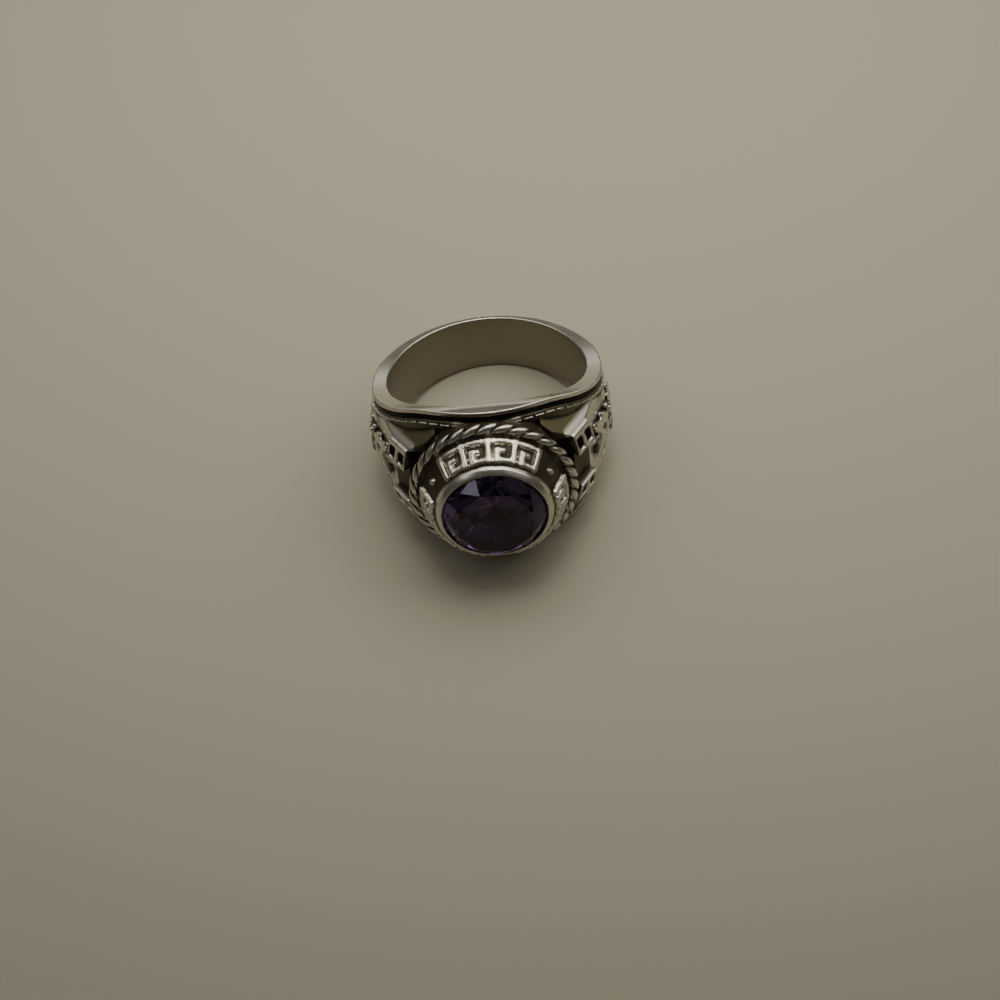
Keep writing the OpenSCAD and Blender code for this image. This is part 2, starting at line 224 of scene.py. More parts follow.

# %% [markdown]
# A finger wears the inside of the band. No tool mark and no oxide outlasts that, so it is even and
# dull with a fine grain, and it mirrors only a blur. Its grey-brown colour, much darker than silver,
# is painted shade for the inside of the band. The grain is drawn coarser than it is, at 0.3 mm,
# because it wouldn't show otherwise.

# %% Worn silver inside the finger hole, darkened as painted shade
# Painted shade: a grey-brown much darker than silver, for the shade inside the band.
worn_shaded_hex = "#9c9485"
grain_mm = 0.3
worn_roughness = (0.38, 0.5)


def worn_shaded_silver():
    """Silver that a finger has rubbed dull, with a darker colour as painted shade."""
    material, tree, shader = new_material("finger_worn_shaded_silver")
    grain = add_node(tree, "ShaderNodeTexNoise", Vector=ring_millimetres(tree), Scale=1 / grain_mm,
                     Detail=3.0)
    matt = add_node(tree, "ShaderNodeMapRange", Value=grain.outputs["Fac"],
                    To_Min=worn_roughness[0], To_Max=worn_roughness[1])
    tree.links.new(matt.outputs["Result"], shader.inputs["Roughness"])
    shader.inputs["Base Color"].default_value = linear(worn_shaded_hex)
    shader.inputs["Metallic"].default_value = 1.0
    return material


worn_shaded = worn_shaded_silver()
print("material:", worn_shaded.name)

# %% [markdown]
# The stone is a synthetic corundum, nearly black with a violet glow. It was sawn, ground and polished
# flat facet by facet, so its surface is a perfect mirror and all its life comes from light that
# enters, is thrown about inside and leaves elsewhere. That is a transmissive shader with corundum's
# index of refraction, no roughness and a dark violet tint, which wanders slowly between a bluer and a
# redder violet, as it does in a grown crystal. The shader's specular tint, a pale violet, dims its
# mirror and lends it a faint violet cast: painted shade on the stone's reflections.

# %% Dark violet corundum
corundum_ior = 1.77
bluer_hex = "#52457c"
redder_hex = "#66446c"
dimmed_reflection_hex = "#b4a9b8"
zone_mm = 3.5


def dark_corundum():
    """A clear dark stone."""
    material, tree, shader = new_material("dark_violet_corundum")
    zone = add_node(tree, "ShaderNodeTexNoise", Vector=ring_millimetres(tree), Scale=1 / zone_mm,
                    Detail=1.0)
    tint = add_node(tree, "ShaderNodeMix", {"data_type": "RGBA"}, Factor=zone.outputs["Fac"],
                    _6=linear(bluer_hex), _7=linear(redder_hex))
    tree.links.new(tint.outputs[2], shader.inputs["Base Color"])
    shader.inputs["Roughness"].default_value = 0.0
    shader.inputs["IOR"].default_value = corundum_ior
    # Painted shade on the reflections: this tint dims the stone's mirror.
    shader.inputs["Specular Tint"].default_value = linear(dimmed_reflection_hex)
    shader.inputs["Transmission Weight"].default_value = 1.0
    return material


corundum = dark_corundum()
print("material:", corundum.name)

# %% [markdown]
# ## The casting
#
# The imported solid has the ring's true forms, but its edges are knife sharp. A wax carver works with
# soft shapes that melt into each other. So a copy of the solid is merged, domed leaves are added to
# it, and the whole lot is rebuilt as one skin of small squares, which is what Blender's voxel remesh
# does. Overlaps fuse, and edges come out slightly round, as they do from a mould.

# %% Copy of the cast solid
weld_mm = 0.0005


def cad_copy(node):
    """The node's mesh in ring millimetres, merged into one closed skin."""
    copy = bmesh.new()
    copy.from_mesh(frame["nodes"][node].data)
    bmesh.ops.transform(copy, matrix=LAY_DOWN.inverted(), verts=copy.verts)
    bmesh.ops.remove_doubles(copy, verts=copy.verts, dist=weld_mm)
    return copy


casting = cad_copy("ring_body")
print("casting:", len(casting.verts), "points,", len(casting.faces), "faces, closed:",
      all(e.is_manifold for e in casting.edges))

# %% [markdown]
# Laurel leaves are domed, with a crease down the middle where the two halves meet. Two flat eggs side
# by side, tipped away from each other, make such a leaf. The first helper makes an egg. The second
# finds a place on the shoulder's side, which is a flat plate with a knee in it.

# %% Eggs, and places on the shoulder
shoulder_knee = Vector((11.45, -3, 0))
shoulder_back = Vector((11.35, 1, 0))
frame_far = Vector((9.467, -8.399, 0))
leaf_rise = 0.35


def add_egg(shape, matrix, half, around=16, along=10):
    """A stretched sphere, its long way along Y."""
    made = bmesh.ops.create_uvsphere(shape, u_segments=around, v_segments=along, radius=1)
    stand = Matrix.Rotation(math.radians(90), 4, "X")
    bmesh.ops.transform(shape, matrix=matrix @ Matrix.Diagonal((*half, 1)) @ stand, verts=made["verts"])
    return made["verts"]


def shoulder_place(y):
    """A matrix on the right shoulder's side: X towards the head, Y across the ring, Z outwards."""
    towards_head = y < shoulder_knee.y
    far = frame_far if towards_head else shoulder_back
    spot = shoulder_knee.lerp(far, (y - shoulder_knee.y) / (far.y - shoulder_knee.y))
    ahead = (far - shoulder_knee).normalized() * (1 if towards_head else -1)
    out = Vector((0, 0, 1)).cross(ahead)
    across = out.cross(ahead)
    matrix = Matrix((ahead, across, out)).transposed().to_4x4()
    matrix.translation = spot + out * leaf_rise
    return matrix

# %% [markdown]
# The leaves stand on the flat relief that the solid already has, in pairs that grow towards the head,
# and are mirrored to the other shoulder. They are made in a bmesh of their own, because an operator
# slows down with all that its bmesh already holds.

# %% Laurel leaves
leaf_pairs = 5
leaf_start = 0.9
leaf_pitch = 1.5
leaf_len = 1.9
leaf_w = 0.9
leaf_growth = 0.12
leaf_spread = math.radians(42)
leaf_dome = 0.3
leaf_tip = math.radians(14)
lobe_half_w = 0.3
lobe_half_len = 0.52

lengthwise = Matrix.Rotation(math.radians(90), 4, "Z")
leaves = bmesh.new()
for step in range(leaf_pairs):
    length = leaf_len * (1 + leaf_growth * step)
    width = leaf_w * (1 + leaf_growth * step / 2)
    for side in (-1, 1):
        spread = Matrix.Rotation(side * leaf_spread, 4, "Z")
        middle = shoulder_place(leaf_start - step * leaf_pitch - length / 2 * math.cos(leaf_spread))
        middle = middle @ Matrix.Translation((0, side * length / 2 * math.sin(leaf_spread), 0)) @ spread
        for half in (-1, 1):
            lobe = Matrix.Translation((0, half * width / 4, 0)) @ Matrix.Rotation(-half * leaf_tip, 4, "X")
            lobe = lobe @ lengthwise
            for mirror in (1, -1):
                add_egg(leaves, Matrix.Scale(mirror, 4, (1, 0, 0)) @ middle @ lobe,
                        (width * lobe_half_w, length * lobe_half_len, leaf_dome))
bmesh.ops.recalc_face_normals(leaves, faces=leaves.faces)
leaf_mesh = bpy.data.meshes.new("leaves")
leaves.to_mesh(leaf_mesh)
leaves.free()
casting.from_mesh(leaf_mesh)
print("leaves:", 4 * leaf_pairs, "points in all:", len(casting.verts))

# %% [markdown]
# A modifier such as Remesh works on an object, and its result is read back as a new mesh. One helper
# does that for any modifier, so the object it needs comes and goes inside it.

# %% Helpers for objects and modifiers
def new_object(name, mesh):
    """An object in the scene, at the origin."""
    thing = bpy.data.objects.new(name, mesh)
    bpy.context.scene.collection.objects.link(thing)
    return thing


def with_modifier(mesh, kind, group=(), **settings):
    """A new mesh: the old one with one modifier applied. It can read a group of points as "group"."""
    thing = new_object("blank", mesh)
    thing.vertex_groups.new(name="group").add(list(group), 1.0, "REPLACE")
    modifier = thing.modifiers.new("shape", kind)
    for name, value in settings.items():
        setattr(modifier, name, value)
    graph = bpy.context.evaluated_depsgraph_get()
    made = bpy.data.meshes.new_from_object(thing.evaluated_get(graph))
    bpy.data.objects.remove(thing)
    return made

# %% [markdown]
# Now everything is rebuilt as one skin. The voxel is the grain of the rebuilt mesh: 0.11 mm keeps the
# bars of the key pattern crisp. A little smoothing takes off the stair-steps.

# %% One skin
voxel_mm = 0.11
smooth_passes = 3

wax_mesh = bpy.data.meshes.new("wax")
casting.to_mesh(wax_mesh)
casting.free()
skin_mesh = with_modifier(wax_mesh, "REMESH", mode="VOXEL", voxel_size=voxel_mm)
skin = bmesh.new()
skin.from_mesh(skin_mesh)
for _ in range(smooth_passes):
    bmesh.ops.smooth_vert(skin, verts=skin.verts, factor=0.5,
                          use_axis_x=True, use_axis_y=True, use_axis_z=True)
bmesh.ops.recalc_face_normals(skin, faces=skin.faces)
ring_mesh = bpy.data.meshes.new("ring_casting")
skin.to_mesh(ring_mesh)
skin.free()
print("skin:", len(ring_mesh.polygons), "faces")

# %% [markdown]
# The skin's plain walls have to be as true as a jeweller's, so their exact shape is written down once
# more. The band is round, drawn forward a little under the head and cut off there by a flatter arc.
# Its rims run straight at the back, sweep up beside the head on a large arc and end in a rounded
# crest. Each arc starts where the one before it ends, at the same slope.

# %% Outline of the band and height of the rims
hole_r = 9.92
band_r = 11.4
band_front_shift = 0.6
front_y = 11.45
front_arc_r = 13.2
back_half_w = 3
rim_slope = 0.05
rim_bend_y = 5
rim_sweep_r = 29
rim_crest_y = 9.25
rim_crest_r = 3

bend_tilt = math.atan(rim_slope)
bend_z = back_half_w + (band_r - rim_bend_y) * rim_slope
sweep_y = rim_bend_y + rim_sweep_r * math.sin(bend_tilt)
sweep_z = bend_z + rim_sweep_r * math.cos(bend_tilt)
crest_tilt = math.asin((sweep_y + rim_crest_y) / rim_sweep_r)
crest_y = -rim_crest_y - rim_crest_r * math.sin(crest_tilt)
crest_z = sweep_z - (rim_sweep_r + rim_crest_r) * math.cos(crest_tilt)


def rim_height(y):
    """Half the band's width at a distance behind the hole's axis."""
    straight = back_half_w + (band_r - y) * rim_slope
    sweep = sweep_z - np.sqrt(np.maximum(rim_sweep_r ** 2 - (y - sweep_y) ** 2, 0))
    crest = crest_z + np.sqrt(np.maximum(rim_crest_r ** 2 - (y - crest_y) ** 2, 0))
    front = np.where(y > crest_y, crest, crest_z + rim_crest_r)
    return np.where(y > rim_bend_y, straight, np.where(y > -rim_crest_y, sweep, front))


def circle_reach(angle, centre_y, radius):
    """How far a ray from the hole's axis runs to a circle whose centre lies on the Y axis."""
    along = centre_y * np.sin(angle)
    return along + np.sqrt(along ** 2 - centre_y ** 2 + radius ** 2)


def band_reach(angle):
    """Distance from the hole's axis to the band's outer wall, by the turn round the hole."""
    reach = np.maximum(circle_reach(angle, 0, band_r), circle_reach(angle, -band_front_shift, band_r))
    return np.minimum(reach, circle_reach(angle, front_arc_r - front_y, front_arc_r))


print("half the band's width: back", round(float(rim_height(band_r)), 2),
      "front", round(float(rim_height(-band_r)), 2))

# %% [markdown]
# The walls are then worked, as a jeweller would with file and reamer. The rims are filed true,
# the finger hole is reamed to its radius and the edges of both are rounded. The points of a mesh are
# quick to move all together as one array. Each point gets its new normal too, because a polished wall
# mirrors the normals more than the points.

# %% File and ream
file_reach = 0.1
edge_round = 0.12
wall_facing = 0.7
rim_facing = 0.65
rim_fade = 0.25
slope_step = 0.01


def rows_of(items, name):
    """One row of three numbers for each point or face of a mesh."""
    values = np.empty(len(items) * 3)
    items.foreach_get(name, values)
    return values.reshape(-1, 3)


def true_up(mesh):
    """Files the rims, reams the hole and rounds the edges. Gives back the points and their normals."""
    points = rows_of(mesh.vertices, "co")
    normals = rows_of(mesh.vertices, "normal")
    radius = np.hypot(points[:, 0], points[:, 1])
    facing = np.abs(normals[:, 2])

    reamed = (np.abs(radius - hole_r) < file_reach) & (facing < wall_facing)
    points[reamed, :2] *= (hole_r / radius[reamed])[:, None]
    normals[reamed] = np.column_stack([-points[reamed, :2] / hole_r, np.zeros(reamed.sum())])

    height = rim_height(points[:, 1])
    filed = (np.abs(np.abs(points[:, 2]) - height) < file_reach) & (facing > rim_facing)
    share = np.clip((facing[filed] - rim_facing) / rim_fade, 0, 1)
    above = np.sign(points[filed, 2])
    points[filed, 2] += share * (above * height[filed] - points[filed, 2])
    slope = rim_height(points[filed, 1] + slope_step) - rim_height(points[filed, 1] - slope_step)
    slope /= 2 * slope_step
    flat = np.column_stack([np.zeros(filed.sum()), -slope, above])
    flat /= np.linalg.norm(flat, axis=1)[:, None]
    normals[filed] += share[:, None] * (flat - normals[filed])
    normals[filed] /= np.linalg.norm(normals[filed], axis=1)[:, None]

    radius = np.hypot(points[:, 0], points[:, 1])
    wall = band_reach(np.arctan2(points[:, 1], points[:, 0]))
    outward = points * (1, 1, 0) / radius[:, None]
    upward = np.sign(points) * (0, 0, 1)
    for side, inset in ((-1, radius - hole_r), (1, wall - radius)):
        into = np.column_stack([inset, height - np.abs(points[:, 2])])
        edge = ((into > -file_reach) & (into < edge_round)).all(axis=1)
        away = edge_round - into[edge]
        away /= np.linalg.norm(away, axis=1)[:, None]
        shift = into[edge] - edge_round * (1 - away)
        points[edge] += side * outward[edge] * shift[:, :1] + upward[edge] * shift[:, 1:]
        normals[edge] = side * outward[edge] * away[:, :1] + upward[edge] * away[:, 1:]
    return points, normals


points, normals = true_up(ring_mesh)
moved = np.linalg.norm(points - rows_of(ring_mesh.vertices, "co"), axis=1)
print("points trued up:", int((moved > 0).sum()), "by at most", round(float(moved.max()), 3), "mm")

# %% [markdown]
# Two more places are worked with burr and graver. The rope is cut back to a thin core, because its
# strands are laid round it later. The plain line under each rim is scraped flat, because dashes will
# stand there.

# %% Cut back and scrape
rope_ring_r = 7.56
rope_h = 12.8
rope_core_r = 0.4
rope_reach = 0.68
collar_clear_r = 7.8
line_from, line_to = 1.2, 1.76
line_rise_most = 0.35
decor_back_y = 1.5
line_end_y = decor_back_y + 0.3

radius = np.hypot(points[:, 0], points[:, 1])
axis_r = np.hypot(points[:, 0], points[:, 2])
from_core = np.stack([axis_r - rope_ring_r, -points[:, 1] - rope_h], 1)
core_r = np.hypot(from_core[:, 0], from_core[:, 1])
cut_back = (core_r < rope_reach) & (core_r > rope_core_r)
shrunk = from_core[cut_back] * (rope_core_r / core_r[cut_back])[:, None]
points[cut_back, 1] = -(rope_h + shrunk[:, 1])
points[cut_back, 0] *= (rope_ring_r + shrunk[:, 0]) / axis_r[cut_back]
points[cut_back, 2] *= (rope_ring_r + shrunk[:, 0]) / axis_r[cut_back]

wall = band_reach(np.arctan2(points[:, 1], points[:, 0]))
below_rim = rim_height(points[:, 1]) - np.abs(points[:, 2])
scraped = ((below_rim > line_from) & (below_rim < line_to) & (radius > wall)
           & (radius < wall + line_rise_most) & (axis_r > collar_clear_r) & (points[:, 1] < line_end_y))
points[scraped, :2] *= (wall[scraped] / radius[scraped])[:, None]
ring_mesh.vertices.foreach_set("co", points.ravel())
ring_mesh.update()
print("points cut back", int(cut_back.sum()), "scraped", int(scraped.sum()))

# %% [markdown]
# Where does oxide stay? In hollows: places that lie below a smoothed copy of the surface. The skin's
# points are averaged with their neighbours many times, and how far that moved each point outwards,
# along its normal, is kept as the attribute "hollow". A short run of averaging finds thin grooves,
# and a long one finds the deeper ground between the ornaments.

# %% Hollows of the surface
short_run = 20
long_run = 200
groove_mm = 0.10
ground_mm = 0.45
hollow_least, hollow_most = -1, 1.5


def averaged(values, ends, counts, times):
    """Values after each point has taken its neighbours' mean, the given number of times."""
    for _ in range(times):
        total = np.empty_like(values)
        for column in range(values.shape[1]):
            total[:, column] = np.bincount(ends[:, 0], values[ends[:, 1], column], len(values))
            total[:, column] += np.bincount(ends[:, 1], values[ends[:, 0], column], len(values))
        values = total / counts[:, None]
    return values


points = rows_of(ring_mesh.vertices, "co")
normals = rows_of(ring_mesh.vertices, "normal")
ends = np.empty(len(ring_mesh.edges) * 2, dtype=np.int64)
ring_mesh.edges.foreach_get("vertices", ends)
ends = ends.reshape(-1, 2)
counts = np.bincount(ends.ravel(), minlength=len(points)).astype(float)
near = averaged(points, ends, counts, short_run)
far = averaged(near, ends, counts, long_run - short_run)
groove = ((near - points) * normals).sum(1) / groove_mm
sunk = ((far - points) * normals).sum(1) / ground_mm
hollow = np.clip(np.maximum(groove, sunk), hollow_least, hollow_most)
hollow[cut_back] = hollow_most
print("hollow from", round(float(hollow.min()), 2), "to", round(float(hollow.max()), 2),
      "share above half:", round(float((hollow > 0.5).mean()), 3))

# %% [markdown]
# The key pattern is too broad for that, so its height is measured. The sloping band is a cone. A
# point's distance from it tells the tops of the bars, which were polished, from the ground between
# them, where the oxide was left as a dark field for the pattern to stand on.

# %% Dark field of the key pattern
cone_foot = (7.25, 12.7)
cone_top = (5.72, 15.85)
cone_start = 0.1
cone_reach = 0.6
pattern_rise = 0.35
pattern_play = 0.1
field_dark = 0.6
bar_bright = -0.5

run = np.subtract(cone_top, cone_foot)
cone_len = float(np.hypot(*run))
from_foot = np.column_stack([axis_r, -points[:, 1]]) - cone_foot
along_cone = from_foot @ run / cone_len
off_cone = (from_foot[:, 0] * run[1] - from_foot[:, 1] * run[0]) / cone_len
on_cone = (along_cone > cone_start) & (along_cone < cone_len) & (np.abs(off_cone) < cone_reach)
height_share = np.clip((off_cone - pattern_play) / (pattern_rise - 2 * pattern_play), 0, 1)
hollow = np.where(on_cone, field_dark + (bar_bright - field_dark) * height_share, hollow)
print("points on the sloping band:", int(on_cone.sum()),
      "on the bars:", int((on_cone & (height_share > 0.5)).sum()))

# %% [markdown]
# The broad ground is named by place. On the real ring a wheel polished the rims, the bezel and the
# faces and edges of the window frames. The slopes between the rims and the frames stayed olive, and
# so did the strip under each rim. The polish fades out over a slope, from the frame's edge backwards.

# %% Slopes that the wheel does not reach
slope_tarnish = 0.65
slope_facing = (0.6, 0.93)
head_facing = -0.6
slope_below_rim = 1.2
slope_from_y, slope_to_y = -12.1, -1
rope_inner_r = 7.4
wall_play = 0.2
edge_tarnish = 0.5
edge_below_rim = (0.45, 3.0)
edge_sunk = 0.2
edge_play = 0.4
frame_base = (8.598, -9.737)
frame_facing = math.radians(57)
frame_edge = 0.1
wheel_reach = 0.8

facing_up = np.abs(normals[:, 2])
on_slope = ((facing_up > slope_facing[0]) & (facing_up < slope_facing[1])
            & (normals[:, 1] > head_facing) & (below_rim > slope_below_rim) & (axis_r > rope_inner_r)
            & (points[:, 1] > slope_from_y) & (points[:, 1] < slope_to_y) & (radius > wall - wall_play))
under_edge = ((below_rim > edge_below_rim[0]) & (below_rim < edge_below_rim[1])
              & (np.abs(radius - wall + edge_sunk) < edge_play)
              & (points[:, 1] < decor_back_y) & (axis_r > collar_clear_r))
aside = np.abs(points[:, 0]) - frame_base[0]
ahead = points[:, 1] - frame_base[1]
behind_frame = ahead * math.cos(frame_facing) - aside * math.sin(frame_facing)
along_frame = ahead * math.sin(frame_facing) + aside * math.cos(frame_facing)
unpolished = np.clip((behind_frame - frame_edge) / wheel_reach, 0, 1)
tarnish_and_shade = np.where(on_slope, slope_tarnish * unpolished, 0.0)
tarnish_and_shade = np.where(under_edge, edge_tarnish, tarnish_and_shade)
print("points on the slopes:", int(on_slope.sum()), "under the rims:", int(under_edge.sum()))

# %% [markdown]
# The low ground between two frames and beside them, the foot of the rope and the collar under it lie
# deeper than a wheel or a cloth can go, so oxide and tarnish stay there. They also lie in shade under
# the frames and the rope, and they are darkened as painted shade on top of that. Then both attributes
# are blurred a little and stored on the mesh.

# %% Painted shade on the low ground, the foot of the rope and the collar
low_ground_shade = 0.42
low_behind = 1
frame_half_len = 1.475
frame_low_edge = 1.9
frame_top = 4.2
shade_from_y, shade_to_y = -12.1, -9.5
rope_shade_r = 8.5
rope_clear = 0.1
collar_r = 7.35
collar_play = 0.12
collar_top_y = -12.45
blur_run = 3
tarnish_shows = 0.3

between = (np.abs(points[:, 2]) < frame_low_edge) & (np.abs(along_frame) < frame_half_len)
beside = (along_frame < -frame_half_len) & (axis_r > collar_clear_r) & (np.abs(points[:, 2]) < frame_top)
low_ground = (between | beside) & (behind_frame < low_behind) & (radius > wall - wall_play)
along_rope = ((axis_r > rope_inner_r) & (axis_r < rope_shade_r) & (points[:, 1] > shade_from_y)
              & (points[:, 1] < shade_to_y) & (radius > wall + rope_clear))
collar = ((np.abs(axis_r - collar_r) < collar_play) & (points[:, 1] > collar_top_y)
          & (points[:, 1] < shade_to_y) & (radius > wall - rope_clear))
# Painted shade: these recesses are made fully tarnished and partly black.
tarnish_and_shade[low_ground | along_rope | collar] = 1.0
hollow[low_ground] = np.maximum(hollow[low_ground], low_ground_shade)
hollow[collar] = low_ground_shade
tarnish_and_shade, hollow = averaged(np.column_stack([tarnish_and_shade, hollow]), ends, counts, blur_run).T
for name, values in (("hollow", hollow), ("tarnish_and_shade", tarnish_and_shade)):
    ring_mesh.attributes.new(name, "FLOAT", "POINT").data.foreach_set("value", values.astype(np.float32))
print("share of tarnished ground:", round(float((tarnish_and_shade > tarnish_shows).mean()), 3))

# %% [markdown]
# Half a million triangles are more than the flat parts need. Decimate merges points where that
# changes the shape least, and it carries the attributes along, so the plain band becomes coarse while
# the ornament keeps its points. The slopes and the rims' edges are spared: polish fades slowly over a
# slope and needs points to fade over, and an edge shows every missing point.

# %% Thin the plain parts
most_triangles = 190000
spared_mm = 0.22
edge_facing = (0.1, 0.9)

triangles = sum(len(p.vertices) - 2 for p in ring_mesh.polygons)
near_wall = np.minimum(np.abs(radius - hole_r), np.abs(radius - wall)) < spared_mm
turning = (facing_up > edge_facing[0]) & (facing_up < edge_facing[1])
near_edge = (below_rim < spared_mm) & (near_wall | turning)
ring_mesh = with_modifier(
    ring_mesh, "DECIMATE", group=np.flatnonzero(on_slope | near_edge).tolist(),
    ratio=min(1.0, most_triangles / triangles),
    vertex_group="group", invert_vertex_group=True, vertex_group_factor=1.0,
)
ring_mesh.name = "ring_casting"
print("triangles:", triangles, "thinned to", len(ring_mesh.polygons))

# %% [markdown]
# Long triangles on a polished wall would show as streaks, so the thinned skin is trued up once more
# and keeps the normals of the true walls. Faces on the finger hole's wall take the worn silver with its
# painted shade. Then the casting is laid down and takes the place of the imported solid.

# %% Finish the casting
steep_facing = 0.5

points, normals = true_up(ring_mesh)
ring_mesh.vertices.foreach_set("co", points.ravel())
ring_mesh.update()
middle = rows_of(ring_mesh.polygons, "center")
steep = np.abs(rows_of(ring_mesh.polygons, "normal")[:, 2]) < steep_facing
on_wall = steep & (np.hypot(middle[:, 0], middle[:, 1]) < hole_r + edge_round / 2)
ring_mesh.transform(LAY_DOWN)
ring_mesh.shade_smooth()
turned = np.array(LAY_DOWN.to_3x3().normalized())
ring_mesh.normals_split_custom_set_from_vertices((normals @ turned.T).tolist())
ring_mesh.materials.clear()
ring_mesh.materials.append(silver)
ring_mesh.materials.append(worn_shaded)
ring_mesh.polygons.foreach_set("material_index", on_wall.astype(np.int32))
ring = new_object("ring_casting", ring_mesh)
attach(ring, "root")
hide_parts("ring_body")
print("ring_casting:", len(ring_mesh.polygons), "faces, of which worn:", int(on_wall.sum()))

# %% [markdown]
# ## The rope border
#
# Two twisted cords show as a row of slanting lozenges, each of which dives under its neighbours. Each
# one is a sphere stretched to an egg and turned to the rope's slant, then bent round the core: a
# point's distance across the rope becomes an angle. That bend is what makes eggs look like cord. How
# far a point stands out tells the polished backs from the black between them.

# %% Strands of the rope
rope_turns = 32
strand_half = Vector((0.34, 1.3, 0.2))
strand_core_r = 0.41
strand_side = math.radians(45)
strand_lay = math.radians(27)
strand_segments = 14
polished_r = 0.56
dark_band = 0.14

strands = bmesh.new()
strand_depth = strands.verts.layers.float.new("hollow")
for turn in range(rope_turns):
    laid = Matrix.Rotation(strand_lay, 4, "Z")
    verts = add_egg(strands, laid, strand_half, around=strand_segments, along=strand_segments)
    for vert in verts:
        lift = strand_core_r + vert.co.z
        swing = vert.co.x / strand_core_r
        vert.co.x = lift * math.sin(swing)
        vert.co.z = lift * math.cos(swing)
        vert[strand_depth] = (polished_r - lift) / dark_band
    place = (ON_HEAD @ Matrix.Rotation(2 * math.pi * turn / rope_turns, 4, "Z")
             @ Matrix.Translation((rope_ring_r, 0, rope_h)) @ Matrix.Rotation(strand_side, 4, "Y"))
    bmesh.ops.transform(strands, matrix=place, verts=verts)
bmesh.ops.recalc_face_normals(strands, faces=strands.faces)
bmesh.ops.transform(strands, matrix=LAY_DOWN, verts=strands.verts)
rope_mesh = bpy.data.meshes.new("rope_border")
strands.to_mesh(rope_mesh)
print("strands:", rope_turns, "faces:", len(strands.faces))
strands.free()
rope_mesh.shade_smooth()
rope_mesh.materials.append(silver)
rope = new_object("rope_border", rope_mesh)
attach(rope, "root")

# %% [markdown]
# ## The dashed line
#
# Under each rim's groove runs a line of short dashes, like a row of stitches. They follow the band's
# outline at a fixed depth below the rim. So that path is walked in small steps first, from behind one
# shoulder round the front to behind the other, and its length is added up.

# %% Path of the dashed line
line_depth = 1.5
path_steps = 2000

start_turn = math.asin(decor_back_y / band_r)
turns = start_turn - np.arange(path_steps + 1) / path_steps * (math.pi + 2 * start_turn)
reach = band_reach(turns)
path = np.stack([reach * np.cos(turns), reach * np.sin(turns)], 1)
path = np.column_stack([path, rim_height(path[:, 1]) - line_depth])
gone = np.concatenate([[0], np.cumsum(np.linalg.norm(np.diff(path, axis=0), axis=1))])
print("length of the line:", round(float(gone[-1]), 2), "mm")

# %% [markdown]
# Each dash is a small block with rounded edges, sunk halfway into the band. It is turned to the path
# and to the band's wall, and mirrored to the other rim.

# %% Dashes
dash_pitch = 1.14
dash_size = Vector((0.94, 0.36, 0.17))
dash_round = 0.06
look_ahead = 8

dashes = bmesh.new()
dash_total = int(gone[-1] / dash_pitch)
for n in range(dash_total):
    at = int(np.searchsorted(gone, (n + 0.5) * gone[-1] / dash_total))
    ahead = Vector(path[min(at + look_ahead, path_steps)] - path[max(at - look_ahead, 0)]).normalized()
    outward = Vector((*path[at][:2], 0)).normalized()
    across = ahead.cross(outward).normalized()
    outward = across.cross(ahead)
    matrix = Matrix((ahead, outward, across)).transposed().to_4x4()
    matrix.translation = Vector(path[at])
    for side in (1, -1):
        made = bmesh.ops.create_cube(dashes, size=1)["verts"]
        bmesh.ops.scale(dashes, vec=dash_size, verts=made)
        bmesh.ops.transform(dashes, matrix=Matrix.Scale(side, 4, (0, 0, 1)) @ matrix, verts=made)
bmesh.ops.bevel(dashes, geom=dashes.edges[:], affect="EDGES", offset=dash_round, segments=2,
                profile=0.5, material=-1, clamp_overlap=True)
bmesh.ops.recalc_face_normals(dashes, faces=dashes.faces)
bmesh.ops.transform(dashes, matrix=LAY_DOWN, verts=dashes.verts)
dash_mesh = bpy.data.meshes.new("bead_line")
dashes.to_mesh(dash_mesh)
print("dashes:", 2 * dash_total, "faces:", len(dashes.faces))
dashes.free()
dash_mesh.shade_smooth()
dash_mesh.materials.append(silver)
dash_line = new_object("bead_line", dash_mesh)
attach(dash_line, "root")

# %% [markdown]
# ## The stone
#
# A stone is cut by holding a round blank against a flat wheel, once for each facet, at a set angle
# and at even turns. The same works here: each cut slices the blank with a plane, throws away what is
# outside and closes the face. Building the facets from lists of corners would hide that order.

# %% Blank and grinding wheel
girdle_r = 5.2
girdle_h = 16.05
blank_sides = 96
blank_depth = 12


def stone_point(angle, radius, height):
    """A point of the stone, by its turn, its distance from the axis and its height above the girdle."""
    return Vector((radius * math.cos(angle), radius * math.sin(angle), girdle_h + height))


def grind(gem, corner_a, corner_b, corner_c):
    """Cuts away what lies outside the plane through three corners and closes the facet."""
    normal = (corner_b - corner_a).cross(corner_c - corner_a).normalized()
    if normal.dot(corner_a - Vector((0, 0, girdle_h))) < 0:
        normal = -normal
    cut = bmesh.ops.bisect_plane(
        gem, geom=[*gem.verts, *gem.edges, *gem.faces], dist=1e-5,
        plane_co=corner_a, plane_no=normal, clear_outer=True,
    )
    rim = [e for e in cut["geom_cut"] if isinstance(e, bmesh.types.BMEdge) and e.is_boundary]
    if rim:
        bmesh.ops.edgeloop_fill(gem, edges=rim)


gem = bmesh.new()
bmesh.ops.create_cone(gem, cap_ends=True, segments=blank_sides, radius1=girdle_r, radius2=girdle_r,
                      depth=blank_depth, matrix=Matrix.Translation((0, 0, girdle_h)))
print("blank:", len(gem.faces), "faces")

# %% [markdown]
# The crown comes first: the flat table on top, then eight turns. Each turn gives one star facet at
# the table's edge, two long facets below it and two small ones at the girdle.

# %% Crown
fold = 8
notch = 2 * math.pi / fold
girdle_t = 0.16
upper = girdle_t / 2
table_rise = 1.7
table_corner_r = 3.85
star_rise = 0.95
star_corner_r = 4.65

